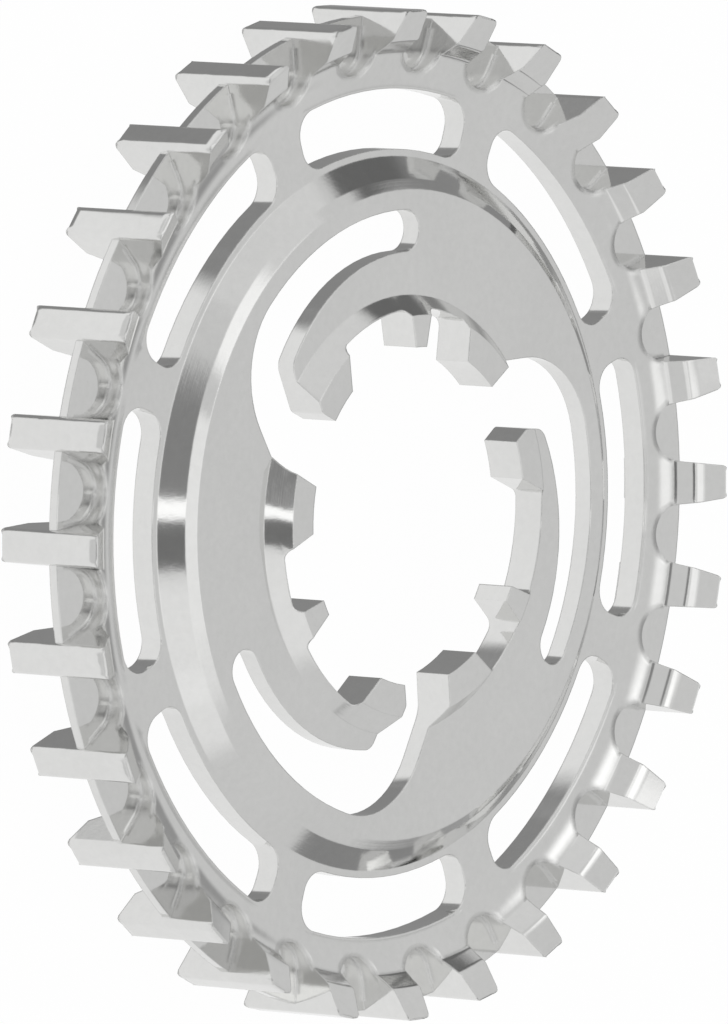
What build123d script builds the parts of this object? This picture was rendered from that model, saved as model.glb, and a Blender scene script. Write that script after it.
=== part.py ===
"""Rear drive sprocket for a toothed bicycle belt, machined from one piece of steel.

It lies flat with the raised hub side up. Z is its axis, Z = 0 is the plane that the
rear ends of the teeth rest in, and +X runs through the middle of one tooth and of one
window. All lengths are in millimetres and all angles in degrees.
"""
import math
import os

from build123d import *

# Belt and teeth
tooth_count = 28
belt_pitch = 11.0
pitch_line_depth = 0.82
tip_radius = tooth_count * belt_pitch / (2 * math.pi) - pitch_line_depth
tooth_length = 11.65
tooth_land_width = 3.0
tooth_flank_angle = 8.0
tooth_crest_chamfer = 0.6
tooth_tip_chamfer = 0.3
gap_depth = 6.0

# Slanted ends of the teeth, and the hollow of two cones that leads down to the web
front_end_drop = 1.35
rear_end_drop = 1.1
tooth_heel_depth = 2.82
rim_knee_depth = 4.35
rim_knee_height = 0.75
rim_foot_depth = 7.0

# Centre fin that keeps the belt in line
fin_depth = 0.7
fin_thickness = 0.95

# Web with its windows
web_thickness = 2.4
web_offset = 0.375
window_count = 8
window_rim_width = 1.7
window_width = 5.75
window_half_angle = 19.0
window_corner_radius = 2.4

# Raised hub disc
hub_cone_foot_radius = 34.1
hub_cone_top_radius = 32.0
hub_cone_height = 1.7
hub_face_radius = 31.0
hub_rise = 2.35
hub_thickness = 1.9
rear_cone_foot_radius = 33.9
rear_cone_top_radius = 31.2

# Boss round the bore
boss_foot_radius = 21.0
boss_top_radius = 19.15
boss_height = 2.05

# Splined bore, three claws of three splines each
claw_count = 3
spline_tip_radius = 16.1
spline_root_radius = 19.75
spline_root_rounding = 1.0
root_spline_angle = 54.1
root_spline_width = 4.5
narrow_spline_angle = 88.6
narrow_spline_width = 1.6
free_spline_angle = 135.4
free_spline_width = 3.7
root_spline_slot_flank = 20.0
root_spline_bore_flank = 28.0
narrow_spline_flank = 12.0
free_spline_bore_flank = 38.0
free_spline_end_flank = 20.0

# Spiral slot that frees each claw
slot_outer_radius = 29.1
slot_width = 4.0
slot_end_angle = 88.8
slot_turn_angle = 148.7
slot_turn_rounding = 9.3
slot_heel_rounding = 3.0
claw_middle_radius = 24.4
claw_middle_angle = 111.6
claw_corner_radius = 22.6
claw_corner_angle = 137.5
claw_corner_rounding = 1.6
claw_heel_rounding = 0.8
claw_heel_depth = 2.0

# Overrun of the cutters past the faces that they cut
cutter_overrun = 2.0

# Circles of the toothed rim, the fin and the windows, inward from the tips of the teeth
tooth_heel_radius = tip_radius - tooth_heel_depth
rim_knee_radius = tip_radius - rim_knee_depth
rim_foot_radius = tip_radius - rim_foot_depth
gap_floor_radius = tip_radius - gap_depth
fin_radius = tip_radius - fin_depth
window_outer_radius = gap_floor_radius - window_rim_width
window_inner_radius = window_outer_radius - window_width

# Levels along the axis
tooth_middle_z = tooth_length / 2
fin_bottom_z = tooth_middle_z - fin_thickness / 2
web_bottom_z = tooth_middle_z + web_offset - web_thickness / 2
web_top_z = web_bottom_z + web_thickness
hub_top_z = web_top_z + hub_rise
hub_bottom_z = hub_top_z - hub_thickness
boss_top_z = hub_top_z + boss_height
cut_height = boss_top_z + 2 * cutter_overrun
tooth_step = 360 / tooth_count
claw_step = 360 / claw_count


def at_polar(radius, angle):
    """Point of a sketch at a radius and an angle about the axis."""
    return (radius * math.cos(math.radians(angle)), radius * math.sin(math.radians(angle)))


def off_centre(radius, width):
    """Angle between a spline's middle and the point of it at this radius and full width."""
    return math.degrees(math.asin(width / 2 / radius))


def flank_point(middle_angle, width, flank_angle, side):
    """Point where a straight spline flank reaches the root circle."""
    half_tip = width / 2
    tip_depth = math.sqrt(spline_tip_radius**2 - half_tip**2)
    slope = math.tan(math.radians(flank_angle))
    a = 1 + slope**2
    b = 2 * (tip_depth + half_tip * slope)
    c = spline_tip_radius**2 - spline_root_radius**2
    run = (-b + math.sqrt(b**2 - 4 * a * c)) / (2 * a)
    turn = math.degrees(math.atan2(half_tip + run * slope, tip_depth + run))
    return at_polar(spline_root_radius, middle_angle + side * turn)


def tip_point(middle_angle, width, side):
    """Corner of a spline's tip on the bore circle."""
    return at_polar(spline_tip_radius, middle_angle + side * off_centre(spline_tip_radius, width))


# Outline of the toothed edge, seen along the axis
flank_slope = math.tan(math.radians(tooth_flank_angle + tooth_step / 2))
gap_half_top = tip_radius * math.sin(math.radians(tooth_step / 2)) - tooth_land_width / 2
gap_cos = math.cos(math.atan(flank_slope))
gap_bottom_half = gap_half_top - (tip_radius - gap_floor_radius) * flank_slope
gap_round = gap_bottom_half * gap_cos / (1 - flank_slope * gap_cos)
gap_centre = gap_floor_radius + gap_round
gap_touch_x = gap_centre - gap_round * flank_slope * gap_cos
gap_touch_y = gap_round * gap_cos
gap_open_x = tip_radius + cutter_overrun
gap_open_y = gap_touch_y + (gap_open_x - gap_touch_x) * flank_slope

with BuildSketch() as tooth_gap:
    with BuildLine():
        ThreePointArc((gap_touch_x, gap_touch_y), (gap_floor_radius, 0), (gap_touch_x, -gap_touch_y))
        Polyline(
            (gap_touch_x, -gap_touch_y),
            (gap_open_x, -gap_open_y),
            (gap_open_x, gap_open_y),
            (gap_touch_x, gap_touch_y),
        )
    make_face()

with BuildSketch() as toothed_outline:
    Circle(tip_radius)
    with PolarLocations(0, tooth_count, start_angle=tooth_step / 2):
        add(tooth_gap.sketch, mode=Mode.SUBTRACT)
    crests = toothed_outline.vertices().filter_by(
        lambda v: math.hypot(v.X, v.Y) > tip_radius - 0.01
    )
    chamfer(crests, tooth_crest_chamfer)

# One window of the web
with BuildSketch() as window:
    with BuildLine():
        CenterArc((0, 0), window_outer_radius, -window_half_angle, 2 * window_half_angle)
        Line(
            at_polar(window_outer_radius, window_half_angle),
            at_polar(window_inner_radius, window_half_angle),
        )
        CenterArc((0, 0), window_inner_radius, -window_half_angle, 2 * window_half_angle)
        Line(
            at_polar(window_inner_radius, -window_half_angle),
            at_polar(window_outer_radius, -window_half_angle),
        )
    make_face()
    fillet(window.vertices(), window_corner_radius)

# The two root spaces of one claw, on each side of its narrow spline
root_spaces = (
    (root_spline_angle, root_spline_width, root_spline_bore_flank,
     narrow_spline_angle, narrow_spline_width, narrow_spline_flank),
    (narrow_spline_angle, narrow_spline_width, narrow_spline_flank,
     free_spline_angle, free_spline_width, free_spline_bore_flank),
)
with BuildSketch() as root_space_pair:
    for first_angle, first_width, first_flank, last_angle, last_width, last_flank in root_spaces:
        start = flank_point(first_angle, first_width, first_flank, 1)
        end = flank_point(last_angle, last_width, last_flank, -1)
        middle = at_polar(spline_root_radius, (first_angle + last_angle) / 2)
        with BuildLine():
            ThreePointArc(start, middle, end)
            Polyline(
                end,
                tip_point(last_angle, last_width, -1),
                (0, 0),
                tip_point(first_angle, first_width, 1),
                start,
            )
        make_face()
    roots = root_space_pair.vertices().filter_by(
        lambda v: math.hypot(v.X, v.Y) > spline_root_radius - 0.01
    )
    fillet(roots, spline_root_rounding)

# One claw slot: round closed end, spiral run, then the mouth into the bore
slot_end_inner_radius = slot_outer_radius - slot_width
slot_mid_radius = slot_outer_radius - slot_width / 2
slot_end_turn = math.degrees(slot_width / 2 / slot_mid_radius)
next_root_angle = root_spline_angle + claw_step
slot_heel = flank_point(next_root_angle, root_spline_width, root_spline_slot_flank, -1)
claw_heel_radius = spline_tip_radius + claw_heel_depth
claw_heel_width = free_spline_width + 2 * claw_heel_depth * math.tan(math.radians(free_spline_end_flank))
claw_heel = at_polar(claw_heel_radius, free_spline_angle + off_centre(claw_heel_radius, claw_heel_width))
with BuildSketch() as claw_slot:
    with BuildLine():
        ThreePointArc(
            at_polar(slot_end_inner_radius, slot_end_angle),
            at_polar(slot_mid_radius, slot_end_angle - slot_end_turn),
            at_polar(slot_outer_radius, slot_end_angle),
        )
        ThreePointArc(
            at_polar(slot_outer_radius, slot_end_angle),
            at_polar(slot_outer_radius, (slot_end_angle + slot_turn_angle) / 2),
            at_polar(slot_outer_radius, slot_turn_angle),
        )
        Polyline(
            at_polar(slot_outer_radius, slot_turn_angle),
            slot_heel,
            tip_point(next_root_angle, root_spline_width, -1),
            (0, 0),
            tip_point(free_spline_angle, free_spline_width, 1),
            claw_heel,
            at_polar(claw_corner_radius, claw_corner_angle),
        )
        ThreePointArc(
            at_polar(claw_corner_radius, claw_corner_angle),
            at_polar(claw_middle_radius, claw_middle_angle),
            at_polar(slot_end_inner_radius, slot_end_angle),
        )
    make_face()


def corner(sketch, point):
    """Vertex of a sketch nearest to a point."""
    return sketch.vertices().sort_by_distance(Vector(point[0], point[1], 0))[0]


with BuildSketch() as rounded_slot:
    add(claw_slot.sketch)
    fillet(corner(rounded_slot, at_polar(slot_outer_radius, slot_turn_angle)), slot_turn_rounding)
    fillet(corner(rounded_slot, slot_heel), slot_heel_rounding)
    fillet(corner(rounded_slot, claw_heel), claw_heel_rounding)
    fillet(corner(rounded_slot, at_polar(claw_corner_radius, claw_corner_angle)), claw_corner_rounding)

with BuildPart() as sprocket:
    # Turned blank, drawn as its half section
    with BuildSketch(Plane.XZ) as section:
        with BuildLine():
            Polyline(
                (0, hub_bottom_z),
                (rear_cone_top_radius, hub_bottom_z),
                (rear_cone_foot_radius, web_bottom_z),
                (rim_foot_radius, web_bottom_z),
                (rim_knee_radius, web_bottom_z - rim_knee_height),
                (tooth_heel_radius, rear_end_drop),
                (tip_radius - tooth_tip_chamfer, 0),
                (tip_radius, tooth_tip_chamfer),
                (tip_radius, tooth_length - tooth_tip_chamfer),
                (tip_radius - tooth_tip_chamfer, tooth_length),
                (tooth_heel_radius, tooth_length - front_end_drop),
                (rim_knee_radius, web_top_z + rim_knee_height),
                (rim_foot_radius, web_top_z),
                (hub_cone_foot_radius, web_top_z),
                (hub_cone_top_radius, web_top_z + hub_cone_height),
                (hub_face_radius, hub_top_z),
                (boss_foot_radius, hub_top_z),
                (boss_top_radius, boss_top_z),
                (0, boss_top_z),
                close=True,
            )
        make_face()
    revolve(axis=Axis.Z)

    # Spaces between the teeth
    with BuildSketch(Plane.XY.offset(-cutter_overrun)) as tooth_spaces:
        Circle(tip_radius + cutter_overrun)
        add(toothed_outline.sketch, mode=Mode.SUBTRACT)
    extrude(amount=cut_height, mode=Mode.SUBTRACT)

    # Centre fin
    with BuildSketch(Plane.XY.offset(fin_bottom_z)) as fin:
        Circle(fin_radius)
        Circle(window_outer_radius, mode=Mode.SUBTRACT)
    extrude(amount=fin_thickness)

    # Windows of the web
    with BuildSketch() as windows:
        with PolarLocations(0, window_count):
            add(window.sketch)
    extrude(amount=cut_height, mode=Mode.SUBTRACT)

    # Splined bore
    with BuildSketch() as bore:
        Circle(spline_tip_radius)
        with PolarLocations(0, claw_count):
            add(root_space_pair.sketch)
    extrude(amount=cut_height, mode=Mode.SUBTRACT)

    # Claw slots
    with BuildSketch() as slots:
        with PolarLocations(0, claw_count):
            add(rounded_slot.sketch)
    extrude(amount=cut_height, mode=Mode.SUBTRACT)

sprocket.part.label = "sprocket"

os.makedirs("parts", exist_ok=True)
export_step(sprocket.part, "parts/sprocket.step")
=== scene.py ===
"""Dresses the belt sprocket in machined steel and sets up its studio."""

import math
from collections import namedtuple

import bmesh
import bpy
from mathutils import Euler, Matrix, Vector


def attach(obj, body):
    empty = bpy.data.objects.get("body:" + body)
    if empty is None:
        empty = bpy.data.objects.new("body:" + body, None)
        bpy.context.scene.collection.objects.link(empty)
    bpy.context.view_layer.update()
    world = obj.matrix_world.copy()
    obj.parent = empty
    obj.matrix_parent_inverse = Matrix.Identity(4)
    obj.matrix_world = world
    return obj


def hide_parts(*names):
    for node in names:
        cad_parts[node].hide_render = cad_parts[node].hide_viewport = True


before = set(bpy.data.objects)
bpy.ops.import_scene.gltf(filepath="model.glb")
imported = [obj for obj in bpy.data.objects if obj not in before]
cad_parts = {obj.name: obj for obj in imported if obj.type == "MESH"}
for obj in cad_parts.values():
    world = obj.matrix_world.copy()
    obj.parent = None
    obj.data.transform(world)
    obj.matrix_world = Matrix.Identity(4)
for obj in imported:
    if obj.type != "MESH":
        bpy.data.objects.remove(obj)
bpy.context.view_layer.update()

bl_info = {
    "name": "Belt Sprocket Finish",
    "version": (1, 0, 0),
    "blender": (4, 5, 0),
    "location": "View3D > Sidebar > Sprocket",
    "description": "Finishes a belt drive sprocket in machined steel and sets up its studio",
    "category": "Material",
}

# Distances in metres: merged corners, cuts that meet a corner, and radii or corners seen along
# the axis that count as the same
MERGE_DISTANCE = 0.000001
CUT_DISTANCE = 0.0000001
SAME_PLACE = 0.0001

# Distance inward from the tips within which a crest's middle lies
CREST_DEPTH = 0.001

# Upward part of a face's normal: at most this on an upright face, at least this on a slanted one
UPRIGHT_PART = 0.05
SLANTED_PART = 0.2

# Sine of the least tilt towards or away from the bore that a face of the hollow has
HOLLOW_SINE = 0.05

# The slanted card is even about a height, and comes nearer to it by this share of the turn
SLANT_MIDDLE = math.radians(-4.0)
SLANT_SHARE = 0.75

# Width of the camera's sensor in millimetres
SENSOR_WIDTH = 36.0

# Places of the cards' nodes in the editor
CARD_LEFT, CARD_TOP, CARD_STEP, BAND_STEP = -900, 600, 420, 180

Card = namedtuple("Card", "name bands brightness soft")

# Cards in the surround, laid one over the other. Each covers a band of one or two angles, and
# fades out over the soft angle on both sides of its edges. All angles are in degrees from the
# part: turn runs from its axis to the picture's right, turn_away to either side, and height up
# the picture. The values of the slant are given above.
CARDS = (
    Card("room_behind", {"turn_away": (122, 240)}, 0.92, 6),
    Card("dark_over_back", {"turn": (118, 190), "height": (3, 56)}, 0.29, 4),
    Card("dark_over_back_left", {"turn": (-190, -164), "height": (3, 56)}, 0.29, 6),
    Card("light_below_left", {"turn": (-48, 0), "height": (-60, -14)}, 0.92, 5),
    Card("grey_right", {"turn": (64, 92), "height": (-15, 13)}, 0.36, 3),
    Card("dark_slant_right", {"turn": (54, 126), "slant": (88.5, 103)}, 0.28, 3),
    Card("dark_upper_right", {"turn": (52, 112), "height": (37, 60)}, 0.16, 3),
    Card("dark_upper_left", {"turn": (-46, -20), "height": (0, 34)}, 0.27, 3),
    Card("dark_left", {"turn": (-47, -20), "height": (-13, 2)}, 0.19, 1),
    Card("bright_gap_left", {"turn": (-55, -18), "height": (-2.9, 1.5)}, 1.35, 0.3),
    Card("bright_middle", {"turn": (3, 30), "height": (-14, 12)}, 1.08, 4),
    Card("bright_over_middle", {"turn": (12, 38), "height": (8, 22)}, 1.35, 3),
    Card("bright_top", {"turn": (-8, 14), "height": (23, 39)}, 1.15, 2),
    Card("light_strip_left", {"turn": (-18, -9), "height": (-40, 16)}, 0.98, 1),
)


class SprocketSteel(bpy.types.PropertyGroup):
    """Sizes and colours of the machined steel."""

    colour: bpy.props.FloatVectorProperty(
        name="Steel Colour", description="Reflected colour of the bare steel",
        subtype="COLOR", size=3, min=0.0, max=1.0, default=(0.76, 0.76, 0.75),
    )
    tint: bpy.props.FloatVectorProperty(
        name="Tint", description="Darkest and palest share of the colour that the mottling gives",
        size=2, min=0.5, max=1.5, default=(0.94, 1.05),
    )
    roughness: bpy.props.FloatProperty(
        name="Roughness", description="Roughness of the turned faces",
        subtype="FACTOR", min=0.0, max=1.0, default=0.08,
    )
    roughness_spread: bpy.props.FloatProperty(
        name="Roughness Spread", description="How far the mottling moves the roughness either way",
        subtype="FACTOR", min=0.0, max=0.5, default=0.03,
    )
    groove_pitch: bpy.props.FloatProperty(
        name="Groove Pitch", description="Spacing of the marks that the lathe tool leaves",
        unit="LENGTH", min=0.00001, default=0.00018,
    )
    groove_depth: bpy.props.FloatProperty(
        name="Groove Depth", description="Depth of the lathe marks",
        unit="LENGTH", min=0.0, default=0.0000012,
    )
    grain_size: bpy.props.FloatProperty(
        name="Grain Size", description="Size of the fine mottling of the surface",
        unit="LENGTH", min=0.00001, default=0.0009,
    )
    grain_depth: bpy.props.FloatProperty(
        name="Grain Depth", description="Depth of the fine mottling",
        unit="LENGTH", min=0.0, default=0.0000036,
    )
    cloud_size: bpy.props.FloatProperty(
        name="Cloud Size", description="Size of the broad clouds in the surface's tone",
        unit="LENGTH", min=0.0001, default=0.015,
    )
    edge_break: bpy.props.FloatProperty(
        name="Edge Break", description="Radius of the deburred edges",
        unit="LENGTH", min=0.0, default=0.0002,
    )
    space_rounding: bpy.props.FloatProperty(
        name="Tooth Space Rounding", description="Radius of the edges and corners of the tooth spaces",
        unit="LENGTH", min=0.0, default=0.0009,
    )
    space_reach: bpy.props.FloatProperty(
        name="Tooth Space Reach", description="Distance above and below the web's middle that is rounded",
        unit="LENGTH", min=0.0, default=0.0021,
    )
    space_edge: bpy.props.FloatProperty(
        name="Tooth Space Edge", description="Radius up to which the tooth spaces are rounded",
        unit="LENGTH", min=0.0, default=0.0466,
    )
    web_middle: bpy.props.FloatProperty(
        name="Web Middle", description="Height of the middle of the web",
        unit="LENGTH", default=0.0062,
    )
    rim_start: bpy.props.FloatProperty(
        name="Rim Start", description="Radius outside which the rim and the teeth are rounded",
        unit="LENGTH", min=0.0, default=0.0407,
    )
    rim_angle: bpy.props.FloatProperty(
        name="Rim Angle", description="Sharpest angle of the rim and teeth that is shaded round",
        subtype="ANGLE", unit="ROTATION", min=0.0, default=math.radians(46.0),
    )
    hub_angle: bpy.props.FloatProperty(
        name="Hub Angle", description="Sharpest angle of the web and hub that is shaded round",
        subtype="ANGLE", unit="ROTATION", min=0.0, default=math.radians(24.0),
    )
    hub_ridge: bpy.props.FloatProperty(
        name="Hub Ridge", description="Radius of the crisp ridge on the cone of the hub",
        unit="LENGTH", min=0.0, default=0.032,
    )
    crest_turn: bpy.props.FloatVectorProperty(
        name="Crest Turn", description="Angles from the radius between which a face is a crest",
        subtype="EULER", size=2, default=(math.radians(25.0), math.radians(65.0)),
    )
    crest_cuts: bpy.props.IntProperty(
        name="Crest Cuts", description="Cuts across each rounded crest", min=1, default=3,
    )
    tip_tilt: bpy.props.FloatProperty(
        name="Tip Tilt", description="Outward tilt at which the rounded tips of the teeth begin",
        subtype="ANGLE", unit="ROTATION", min=0.0, default=math.radians(10.0),
    )
    front_heights: bpy.props.FloatVectorProperty(
        name="Front Hollow Heights",
        description="Heights of the web, the slope's end, the wall's ends, the heel and the tooth end",
        unit="LENGTH", size=6, default=(0.0074, 0.00805, 0.00865, 0.00975, 0.01025, 0.0107),
    )
    front_tilts: bpy.props.FloatVectorProperty(
        name="Front Hollow Tilts",
        description="Tilts towards the bore of the low slope, the wall, the heel and the tooth end",
        subtype="EULER", size=4,
        default=(math.radians(20.0), math.radians(54.6), math.radians(18.0), math.radians(28.2)),
    )
    rear_heights: bpy.props.FloatVectorProperty(
        name="Rear Hollow Heights",
        description="Heights of the web, the slope's end, the wall's ends, the heel and the tooth end",
        unit="LENGTH", size=6, default=(0.005, 0.00435, 0.00353, 0.0018, 0.00115, 0.0008),
    )
    rear_tilts: bpy.props.FloatVectorProperty(
        name="Rear Hollow Tilts",
        description="Tilts towards the bore of the low slope, the wall, the heel and the tooth end",
        subtype="EULER", size=4,
        default=(math.radians(20.0), math.radians(64.0), math.radians(18.0), math.radians(23.6)),
    )


class SprocketStage(bpy.types.PropertyGroup):
    """Camera, floor, surround and lamp."""

    distance: bpy.props.FloatProperty(
        name="Camera Distance", description="Distance from the camera to the hub",
        unit="LENGTH", min=0.1, default=1.918,
    )
    turn: bpy.props.FloatProperty(
        name="Camera Turn", description="Angle between the line of sight and the axis of the bore",
        subtype="ANGLE", unit="ROTATION", default=math.radians(51.48),
    )
    tilt: bpy.props.FloatProperty(
        name="Camera Tilt", description="Tilt of the line of sight across the teeth",
        subtype="ANGLE", unit="ROTATION", default=math.radians(2.35),
    )
    roll: bpy.props.FloatProperty(
        name="Camera Roll", description="Roll about the line of sight",
        subtype="ANGLE", unit="ROTATION", default=math.radians(-2.03),
    )
    tooth_turn: bpy.props.FloatProperty(
        name="Tooth Turn", description="Turn of the part about its axis, seen by the camera",
        subtype="ANGLE", unit="ROTATION", default=math.radians(3.4),
    )
    lens: bpy.props.FloatProperty(
        name="Lens", description="Focal length in millimetres on a 36 mm sensor",
        unit="CAMERA", min=10.0, default=708.6,
    )
    aim: bpy.props.FloatVectorProperty(
        name="Aim", description="Sideways and upward shift of the part in the picture",
        unit="LENGTH", size=2, default=(0.00184, -0.00016),
    )
    web_height: bpy.props.FloatProperty(
        name="Web Height", description="Height of the web's upper face, which the camera aims at",
        unit="LENGTH", default=0.0074,
    )
    floor_colour: bpy.props.FloatVectorProperty(
        name="Floor Colour", description="Colour of the studio floor",
        subtype="COLOR", size=3, min=0.0, max=1.0, default=(0.9, 0.9, 0.9),
    )
    floor_glow: bpy.props.FloatProperty(
        name="Floor Glow", description="Share of the floor that the camera sees as plain white",
        subtype="FACTOR", min=0.0, max=1.0, default=0.98,
    )
    floor_size: bpy.props.FloatProperty(
        name="Floor Size", description="Width of the studio floor",
        unit="LENGTH", min=0.5, default=6.0,
    )
    sky_strength: bpy.props.FloatProperty(
        name="Surround Strength", description="Brightness of the pale surround",
        min=0.0, default=0.70,
    )
    lamp_power: bpy.props.FloatProperty(
        name="Lamp Power", description="Power of the soft lamp over the part",
        unit="POWER", min=0.0, default=0.3,
    )
    lamp_turn: bpy.props.FloatProperty(
        name="Lamp Turn", description="Turn of the lamp from the part's axis to the picture's right",
        subtype="ANGLE", unit="ROTATION", default=math.radians(10.0),
    )
    lamp_height: bpy.props.FloatProperty(
        name="Lamp Height", description="Angle of the lamp up the picture",
        subtype="ANGLE", unit="ROTATION", default=math.radians(62.0),
    )
    lamp_distance: bpy.props.FloatProperty(
        name="Lamp Distance", description="Distance from the lamp to the part",
        unit="LENGTH", min=0.1, default=1.4,
    )
    lamp_size: bpy.props.FloatProperty(
        name="Lamp Size", description="Width of the soft lamp",
        unit="LENGTH", min=0.01, default=1.1,
    )


def add_node(tree, kind, place, **settings):
    """Adds a node at a place in the editor and sets its properties."""
    node = tree.nodes.new(kind)
    node.location = place
    for name, value in settings.items():
        setattr(node, name, value)
    return node


def math_node(tree, operation, place, first, second=None):
    """Adds a Math node fed by sockets or numbers and returns its output."""
    node = add_node(tree, "ShaderNodeMath", place, operation=operation)
    for socket, value in zip(node.inputs, (first, second)):
        if value is None:
            continue
        if isinstance(value, bpy.types.NodeSocket):
            tree.links.new(value, socket)
        else:
            socket.default_value = value
    return node.outputs[0]


def new_material(name):
    """Returns a new material and its emptied node tree."""
    material = bpy.data.materials.new(name)
    material.use_nodes = True
    material.node_tree.nodes.clear()
    return material, material.node_tree


def axis_distance(tree, split):
    """Distance from the sprocket's axis."""
    across = math_node(tree, "MULTIPLY", (-1000, 300), split.outputs["X"], split.outputs["X"])
    along = math_node(tree, "MULTIPLY", (-1000, 150), split.outputs["Y"], split.outputs["Y"])
    return math_node(tree, "SQRT", (-650, 250), math_node(tree, "ADD", (-820, 250), across, along))


def lathe_marks(tree, radius, height, steel):
    """Height of the turned marks: noise that changes along the radius and the axis only."""
    per_groove = 1.0 / steel.groove_pitch
    ring = add_node(tree, "ShaderNodeCombineXYZ", (-450, 250))
    tree.links.new(math_node(tree, "MULTIPLY", (-550, 350), radius, per_groove), ring.inputs["X"])
    tree.links.new(math_node(tree, "MULTIPLY", (-550, 150), height, per_groove), ring.inputs["Y"])
    grooves = add_node(tree, "ShaderNodeTexNoise", (-250, 250), noise_dimensions="2D")
    grooves.inputs["Scale"].default_value = 1.0
    grooves.inputs["Detail"].default_value = 3.0
    tree.links.new(ring.outputs[0], grooves.inputs["Vector"])
    return grooves.outputs["Fac"]


def mottling(tree, place, steel):
    """Fine mottling of the surface, and its blend with broad clouds."""
    fine = add_node(tree, "ShaderNodeTexNoise", (-250, -50))
    fine.inputs["Scale"].default_value = 1.0 / steel.grain_size
    fine.inputs["Detail"].default_value = 5.0
    fine.inputs["Roughness"].default_value = 0.65
    tree.links.new(place, fine.inputs["Vector"])
    clouds = add_node(tree, "ShaderNodeTexNoise", (-250, -350))
    clouds.inputs["Scale"].default_value = 1.0 / steel.cloud_size
    clouds.inputs["Detail"].default_value = 3.0
    tree.links.new(place, clouds.inputs["Vector"])
    blend = add_node(tree, "ShaderNodeMix", (-50, -250), data_type="FLOAT")
    blend.inputs["Factor"].default_value = 0.5
    tree.links.new(fine.outputs["Fac"], blend.inputs["A"])
    tree.links.new(clouds.outputs["Fac"], blend.inputs["B"])
    return fine.outputs["Fac"], blend.outputs["Result"]


def tint_and_gloss(tree, shader, mottled, steel):
    """Lets the mottling vary the steel's colour and roughness a little."""
    tint = add_node(tree, "ShaderNodeValToRGB", (50, -50))
    dark, pale = tint.color_ramp.elements
    dark.position, pale.position = 0.25, 0.75
    for stop, share in zip((dark, pale), steel.tint):
        stop.color = (*[min(1.0, part * share) for part in steel.colour], 1.0)
    tree.links.new(mottled, tint.inputs["Fac"])
    tree.links.new(tint.outputs["Color"], shader.inputs["Base Color"])
    gloss = add_node(tree, "ShaderNodeMapRange", (250, -250))
    gloss.inputs["To Min"].default_value = steel.roughness - steel.roughness_spread
    gloss.inputs["To Max"].default_value = steel.roughness + steel.roughness_spread
    tree.links.new(mottled, gloss.inputs["Value"])
    tree.links.new(gloss.outputs["Result"], shader.inputs["Roughness"])


def rounded_edges(tree, radius, height, steel):
    """Normal of the deburred edges, which are rounder in the tooth spaces."""
    off_web = math_node(
        tree, "ABSOLUTE", (-450, 500),
        math_node(tree, "SUBTRACT", (-600, 500), height, steel.web_middle),
    )
    near_web = math_node(tree, "LESS_THAN", (-300, 500), off_web, steel.space_reach)
    on_rim = math_node(tree, "GREATER_THAN", (-300, 650), radius, steel.rim_start)
    in_space = math_node(tree, "LESS_THAN", (-300, 800), radius, steel.space_edge)
    space = math_node(
        tree, "MULTIPLY", (-50, 700),
        math_node(tree, "MULTIPLY", (-150, 550), near_web, on_rim), in_space,
    )
    wider = math_node(tree, "MULTIPLY", (0, 550), space, steel.space_rounding - steel.edge_break)
    edges = add_node(tree, "ShaderNodeBevel", (50, 250), samples=4)
    tree.links.new(
        math_node(tree, "ADD", (50, 450), wider, steel.edge_break), edges.inputs["Radius"]
    )
    return edges.outputs["Normal"]


def bumped(tree, place, depth, height, normal):
    """Normal of a surface with marks of a depth in metres pressed into it."""
    bump = add_node(tree, "ShaderNodeBump", place)
    bump.inputs["Strength"].default_value = 1.0
    bump.inputs["Distance"].default_value = depth
    tree.links.new(height, bump.inputs["Height"])
    tree.links.new(normal, bump.inputs["Normal"])
    return bump.outputs["Normal"]


def steel_material(steel):
    """Satin machined steel: turned marks round the axis, fine mottling and soft edges."""
    material, tree = new_material("machined_steel")
    output = add_node(tree, "ShaderNodeOutputMaterial", (900, 0))
    shader = add_node(tree, "ShaderNodeBsdfPrincipled", (600, 0))
    shader.inputs["Metallic"].default_value = 1.0
    tree.links.new(shader.outputs["BSDF"], output.inputs["Surface"])

    place = add_node(tree, "ShaderNodeTexCoord", (-1400, 0)).outputs["Object"]
    split = add_node(tree, "ShaderNodeSeparateXYZ", (-1200, 200))
    tree.links.new(place, split.inputs[0])
    radius, height = axis_distance(tree, split), split.outputs["Z"]

    grain, mottled = mottling(tree, place, steel)
    tint_and_gloss(tree, shader, mottled, steel)
    normal = rounded_edges(tree, radius, height, steel)
    grooves = lathe_marks(tree, radius, height, steel)
    normal = bumped(tree, (300, 250), steel.groove_depth, grooves, normal)
    normal = bumped(tree, (450, 100), steel.grain_depth, grain, normal)
    tree.links.new(normal, shader.inputs["Normal"])
    return material


def tip_radius(vertices):
    """Radius of the tips of the teeth."""
    return max(vertex.co.xy.length for vertex in vertices)


def shaded_round(edge, steel):
    """Whether the shading runs smoothly over an edge: a curve's facets, or a rounded rim edge."""
    if len(edge.link_faces) != 2:
        return False
    start, end = (vertex.co.xy.length for vertex in edge.verts)
    if min(start, end) > steel.rim_start:
        return edge.calc_face_angle(math.pi) < steel.rim_angle
    on_ridge = max(abs(start - steel.hub_ridge), abs(end - steel.hub_ridge)) < SAME_PLACE
    return edge.calc_face_angle(math.pi) < steel.hub_angle and not on_ridge


def crest_groups(shape, steel):
    """Faces of the flat crests between a tooth's tip and its flanks, by the way they face."""
    tip = tip_radius(shape.verts)
    groups = {}
    for face in shape.faces:
        middle = face.calc_center_median().xy
        if abs(face.normal.z) > UPRIGHT_PART or middle.length < tip - CREST_DEPTH:
            continue
        if steel.crest_turn[0] < face.normal.xy.angle(middle) < steel.crest_turn[1]:
            facing = round(math.degrees(math.atan2(face.normal.y, face.normal.x)))
            groups.setdefault(facing, []).append(face)
    return groups


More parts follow.
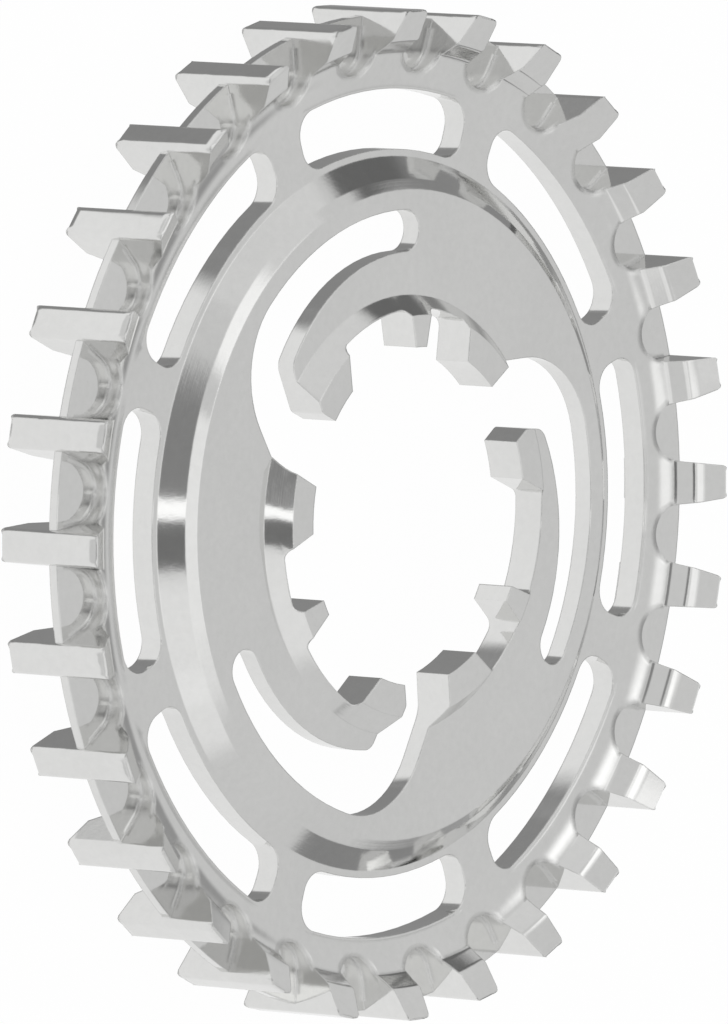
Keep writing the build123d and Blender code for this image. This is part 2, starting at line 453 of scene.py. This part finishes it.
def crest_arc(faces):
    """Centre and radius of the arc through both long edges of a flat crest."""
    corners = sorted({vertex for face in faces for vertex in face.verts},
                     key=lambda vertex: vertex.co.xy.length)
    flank, land = corners[0].co.xy.copy(), corners[-1].co.xy.copy()
    outward = faces[0].normal.xy.normalized()
    half_turn = outward.angle(land)
    radius = (land - flank).length / (2.0 * math.sin(half_turn))
    return (land + flank) / 2.0 - outward * radius * math.cos(half_turn), radius


def round_crests(shape, steel):
    """Turns the flat crests of the teeth into rounded ones that meet tip and flank smoothly."""
    crests = [(faces, *crest_arc(faces)) for faces in crest_groups(shape, steel).values()]
    for faces, centre, radius in crests:
        across = {
            edge for face in faces if face.is_valid for edge in face.edges
            if (edge.verts[0].co.xy - edge.verts[1].co.xy).length > SAME_PLACE
        }
        made = bmesh.ops.subdivide_edges(
            shape, edges=list(across), cuts=steel.crest_cuts, use_grid_fill=True
        )
        for piece in made["geom_inner"]:
            if isinstance(piece, bmesh.types.BMVert):
                away = (piece.co.xy - centre).normalized() * radius
                piece.co.x, piece.co.y = centre.x + away.x, centre.y + away.y


def cut_hollow(shape, steel):
    """Cuts the rim's faces level at each height where the profile of the hollow turns."""
    for height in (*steel.front_heights[1:], *steel.rear_heights[1:]):
        rim = [
            face for face in shape.faces if face.calc_center_median().xy.length > steel.rim_start
        ]
        edges = {edge for face in rim for edge in face.edges}
        corners = {vertex for face in rim for vertex in face.verts}
        bmesh.ops.bisect_plane(
            shape, geom=[*rim, *edges, *corners], dist=CUT_DISTANCE,
            plane_co=(0.0, 0.0, height), plane_no=(0.0, 0.0, 1.0),
        )


def hollow_tilt(height, heights, tilts):
    """Tilt of the rim's hollow at a height, which turns smoothly from the web to the tooth end."""
    slope, wall, heel, end = tilts
    stops = list(zip(heights, (0.0, slope, wall, wall, heel, end)))
    up = math.copysign(1.0, heights[-1] - heights[0])
    for (low, low_tilt), (high, high_tilt) in zip(stops, stops[1:]):
        if up * height <= up * high:
            share = max(0.0, (height - low) / (high - low))
            return low_tilt + share * (high_tilt - low_tilt)
    return end


def inward_tilt(face, steel):
    """Sine of a rim face's tilt towards the bore, or zero for an upright face or one of the hub."""
    middle = face.center.xy
    if middle.length < steel.rim_start or abs(face.normal.z) < SLANTED_PART:
        return 0.0
    return -face.normal.xy.dot(middle.normalized())


def round_hollow(mesh, steel):
    """Gives the corners of the rim's hollow the normals of a smoothly rounded profile."""
    normals = [corner.vector.copy() for corner in mesh.corner_normals]
    tip = tip_radius(mesh.vertices)
    for face in mesh.polygons:
        towards_bore = inward_tilt(face, steel)
        if abs(towards_bore) < HOLLOW_SINE:
            continue
        front = face.normal.z > 0.0
        heights = steel.front_heights if front else steel.rear_heights
        tilts = steel.front_tilts if front else steel.rear_tilts
        for corner in face.loop_indices:
            place = mesh.vertices[mesh.loops[corner].vertex_index].co
            if towards_bore > 0.0:
                tilt = hollow_tilt(place.z, heights, tilts)
            elif place.xy.length < tip - SAME_PLACE:
                tilt = -steel.tip_tilt
            else:
                tilt = -math.pi / 2
            inward = -place.xy.normalized() * math.sin(tilt)
            upward = math.cos(tilt) if front else -math.cos(tilt)
            normals[corner] = Vector((inward.x, inward.y, upward))
    mesh.normals_split_custom_set(normals)


def even_shading(context, piece):
    """Weights the piece's normals by the size of its faces, worked into its mesh."""
    even = piece.modifiers.new("even_shading", "WEIGHTED_NORMAL")
    even.keep_sharp = True
    shaded = piece.evaluated_get(context.evaluated_depsgraph_get())
    piece.data = bpy.data.meshes.new_from_object(shaded)
    piece.data.name = piece.name
    piece.modifiers.remove(even)


def floor_material(stage):
    """Pale floor that the camera sees as nearly white and that still takes the shadow.

    The steel mirrors the pale surround below it through the floor.
    """
    material, tree = new_material("studio_floor")
    link = tree.links.new
    output = add_node(tree, "ShaderNodeOutputMaterial", (600, 0))
    paper = add_node(tree, "ShaderNodeBsdfDiffuse", (0, 100))
    paper.inputs["Color"].default_value = (*stage.floor_colour, 1.0)
    glow = add_node(tree, "ShaderNodeEmission", (0, -100))
    glow.inputs["Strength"].default_value = 1.0
    rays = add_node(tree, "ShaderNodeLightPath", (-600, 300))
    share = math_node(
        tree, "MULTIPLY", (-100, 300), rays.outputs["Is Camera Ray"], stage.floor_glow
    )
    seen = add_node(tree, "ShaderNodeMixShader", (300, 0))
    link(share, seen.inputs["Fac"])
    link(paper.outputs[0], seen.inputs[1])
    link(glow.outputs[0], seen.inputs[2])
    clear = add_node(tree, "ShaderNodeBsdfTransparent", (300, -200))
    mirrored = add_node(tree, "ShaderNodeMixShader", (450, 0))
    link(rays.outputs["Is Glossy Ray"], mirrored.inputs["Fac"])
    link(seen.outputs[0], mirrored.inputs[1])
    link(clear.outputs[0], mirrored.inputs[2])
    link(mirrored.outputs[0], output.inputs["Surface"])
    return material


def add_floor(context, stage):
    """Adds the level floor that the sprocket lies on."""
    mesh = bpy.data.meshes.new("studio_floor")
    shape = bmesh.new()
    bmesh.ops.create_grid(shape, x_segments=1, y_segments=1, size=stage.floor_size / 2)
    shape.to_mesh(mesh)
    shape.free()
    mesh.materials.append(floor_material(stage))
    floor = bpy.data.objects.new("studio_floor", mesh)
    context.scene.collection.objects.link(floor)


def part_spin(stage):
    """Rotation about the axis from the camera's upright to the part's own X."""
    return Euler((0.0, 0.0, -stage.tooth_turn)).to_matrix()


def picture_frame(stage):
    """Directions of the picture's right, its top and the way back to the camera, as a rotation."""
    turn = Euler((0.0, stage.turn, 0.0)).to_matrix()
    tilt = Euler((stage.tilt, 0.0, 0.0)).to_matrix()
    roll = Euler((0.0, 0.0, stage.roll)).to_matrix()
    part_to_camera = roll @ tilt @ turn
    return part_spin(stage) @ part_to_camera.transposed()


def part_direction(stage, turn, height):
    """Direction from the part: turn from its axis to the picture's right, height up the picture."""
    level = math.cos(height)
    return part_spin(stage) @ Vector(
        (level * math.sin(turn), math.sin(height), level * math.cos(turn))
    )


def add_softbox(context, stage):
    """Adds the square lamp over the part, aimed back at it."""
    lamp = bpy.data.lights.new("upper_softbox", "AREA")
    lamp.shape = "SQUARE"
    lamp.size = stage.lamp_size
    lamp.energy = stage.lamp_power
    lamp_object = bpy.data.objects.new("upper_softbox", lamp)
    context.scene.collection.objects.link(lamp_object)
    direction = part_direction(stage, stage.lamp_turn, stage.lamp_height)
    lamp_object.location = direction * stage.lamp_distance
    lamp_object.rotation_mode = "QUATERNION"
    lamp_object.rotation_quaternion = (-direction).to_track_quat("-Z", "Y")


def band_mask(tree, place, angle, band, soft):
    """Returns a socket that is 1 between two angles in degrees and fades out past them."""
    low, high = band
    middle, half = math.radians(low + high) / 2, math.radians(high - low) / 2
    away = math_node(
        tree, "ABSOLUTE", (place[0] + 160, place[1]),
        math_node(tree, "SUBTRACT", place, angle, middle),
    )
    fade = add_node(
        tree, "ShaderNodeMapRange", (place[0] + 320, place[1]), interpolation_type="SMOOTHSTEP"
    )
    fade.inputs["From Min"].default_value = half - math.radians(soft)
    fade.inputs["From Max"].default_value = half + math.radians(soft)
    fade.inputs["To Min"].default_value = 1.0
    fade.inputs["To Max"].default_value = 0.0
    tree.links.new(away, fade.inputs["Value"])
    return fade.outputs["Result"]


def add_card(tree, row, level, angles, card):
    """Lays a soft-edged card of one brightness over the surround and returns the new level."""
    top = CARD_TOP - CARD_STEP * row
    mask = 1.0
    for column, (name, band) in enumerate(card.bands.items()):
        place = (CARD_LEFT, top - BAND_STEP * column)
        inside = band_mask(tree, place, angles[name], band, card.soft)
        mask = math_node(tree, "MULTIPLY", (CARD_LEFT + 520, place[1]), inside, mask)
    blend = add_node(
        tree, "ShaderNodeMix", (CARD_LEFT + 700, top), data_type="FLOAT", name=card.name
    )
    blend.inputs["B"].default_value = card.brightness
    tree.links.new(mask, blend.inputs["Factor"])
    if isinstance(level, bpy.types.NodeSocket):
        tree.links.new(level, blend.inputs["A"])
    else:
        blend.inputs["A"].default_value = level
    return blend.outputs["Result"]


def surround_angles(tree, stage):
    """Sockets with the angles of a direction in the surround, by the names that the cards use."""
    place = add_node(tree, "ShaderNodeTexCoord", (-1900, 300))
    aligned = add_node(tree, "ShaderNodeVectorRotate", (-1700, 300), rotation_type="Z_AXIS")
    aligned.inputs["Angle"].default_value = stage.tooth_turn
    tree.links.new(place.outputs["Generated"], aligned.inputs["Vector"])
    split = add_node(tree, "ShaderNodeSeparateXYZ", (-1500, 300))
    tree.links.new(aligned.outputs[0], split.inputs[0])
    turn = math_node(tree, "ARCTAN2", (-1300, 400), split.outputs["X"], split.outputs["Z"])
    height = math_node(tree, "ARCSINE", (-1300, 200), split.outputs["Y"])
    off_middle = math_node(
        tree, "ABSOLUTE", (-1100, 0),
        math_node(tree, "SUBTRACT", (-1300, 0), height, SLANT_MIDDLE),
    )
    slant = math_node(
        tree, "ADD", (-900, 0), off_middle,
        math_node(tree, "MULTIPLY", (-1100, -200), turn, SLANT_SHARE),
    )
    turn_away = math_node(tree, "ABSOLUTE", (-1100, 600), turn)
    return {"turn": turn, "turn_away": turn_away, "height": height, "slant": slant}


def surround_world(stage):
    """Pale studio surround with cards in it that draw dark and bright reflections on the steel."""
    world = bpy.data.worlds.new("studio_surround")
    world.use_nodes = True
    tree = world.node_tree
    background = tree.nodes["Background"]
    background.inputs["Color"].default_value = (1.0, 1.0, 1.0, 1.0)
    angles = surround_angles(tree, stage)
    level = stage.sky_strength
    for row, card in enumerate(CARDS):
        level = add_card(tree, row, level, angles, card)
    tree.links.new(level, background.inputs["Strength"])
    return world


def add_camera(context, stage):
    """Adds the camera at the photograph's angle and makes it the scene's own."""
    axes = picture_frame(stage)
    camera = bpy.data.cameras.new("camera")
    camera.lens_unit = "MILLIMETERS"
    camera.sensor_width = SENSOR_WIDTH
    camera.lens = stage.lens
    camera_object = bpy.data.objects.new("camera", camera)
    context.scene.collection.objects.link(camera_object)
    place = axes @ Vector((-stage.aim[0], -stage.aim[1], stage.distance))
    place.z += stage.web_height
    camera_object.matrix_world = Matrix.Translation(place) @ axes.to_4x4()
    context.scene.camera = camera_object


class SPROCKET_OT_finish_body(bpy.types.Operator):
    """Give the machined body its steel"""

    bl_idname = "sprocket.finish_body"
    bl_label = "Finish Body"
    bl_options = {"REGISTER", "UNDO"}

    def execute(self, context):
        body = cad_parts.get("sprocket")
        if body is None:
            raise RuntimeError("the frame has no node named sprocket")
        steel = context.scene.sprocket_steel
        shape = bmesh.new()
        shape.from_mesh(body.data)
        bmesh.ops.remove_doubles(shape, verts=shape.verts, dist=MERGE_DISTANCE)
        round_crests(shape, steel)
        cut_hollow(shape, steel)
        bmesh.ops.triangulate(shape, faces=shape.faces)
        for face in shape.faces:
            face.smooth = True
        for edge in shape.edges:
            edge.smooth = shaded_round(edge, steel)
        mesh = bpy.data.meshes.new("machined_body")
        shape.to_mesh(mesh)
        shape.free()
        mesh.materials.append(steel_material(steel))
        piece = bpy.data.objects.new("machined_body", mesh)
        context.scene.collection.objects.link(piece)
        even_shading(context, piece)
        round_hollow(piece.data, steel)
        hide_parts("sprocket")
        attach(piece, "root")
        return {"FINISHED"}


class SPROCKET_OT_build_stage(bpy.types.Operator):
    """Set up the floor, the surround, the lamp and the camera"""

    bl_idname = "sprocket.build_stage"
    bl_label = "Build Stage"
    bl_options = {"REGISTER", "UNDO"}

    def execute(self, context):
        stage = context.scene.sprocket_stage
        add_floor(context, stage)
        context.scene.world = surround_world(stage)
        add_softbox(context, stage)
        add_camera(context, stage)
        context.scene.view_settings.view_transform = "Standard"
        return {"FINISHED"}


class VIEW3D_PT_sprocket(bpy.types.Panel):
    """Sidebar panel of the sprocket's finish and stage"""

    bl_idname = "VIEW3D_PT_sprocket"
    bl_label = "Belt Sprocket"
    bl_space_type = "VIEW_3D"
    bl_region_type = "UI"
    bl_category = "Sprocket"

    def draw(self, context):
        steps = (
            (context.scene.sprocket_steel, SPROCKET_OT_finish_body),
            (context.scene.sprocket_stage, SPROCKET_OT_build_stage),
        )
        for settings, step in steps:
            box = self.layout.box()
            for name in settings.__annotations__:
                box.prop(settings, name)
            box.operator(step.bl_idname)


CLASSES = (
    SprocketSteel,
    SprocketStage,
    SPROCKET_OT_finish_body,
    SPROCKET_OT_build_stage,
    VIEW3D_PT_sprocket,
)


def register():
    for cls in CLASSES:
        bpy.utils.register_class(cls)
    bpy.types.Scene.sprocket_steel = bpy.props.PointerProperty(type=SprocketSteel)
    bpy.types.Scene.sprocket_stage = bpy.props.PointerProperty(type=SprocketStage)


def unregister():
    del bpy.types.Scene.sprocket_stage
    del bpy.types.Scene.sprocket_steel
    for cls in reversed(CLASSES):
        bpy.utils.unregister_class(cls)


def main():
    register()
    bpy.ops.sprocket.finish_body()
    bpy.ops.sprocket.build_stage()


if __name__ == "__main__":
    main()
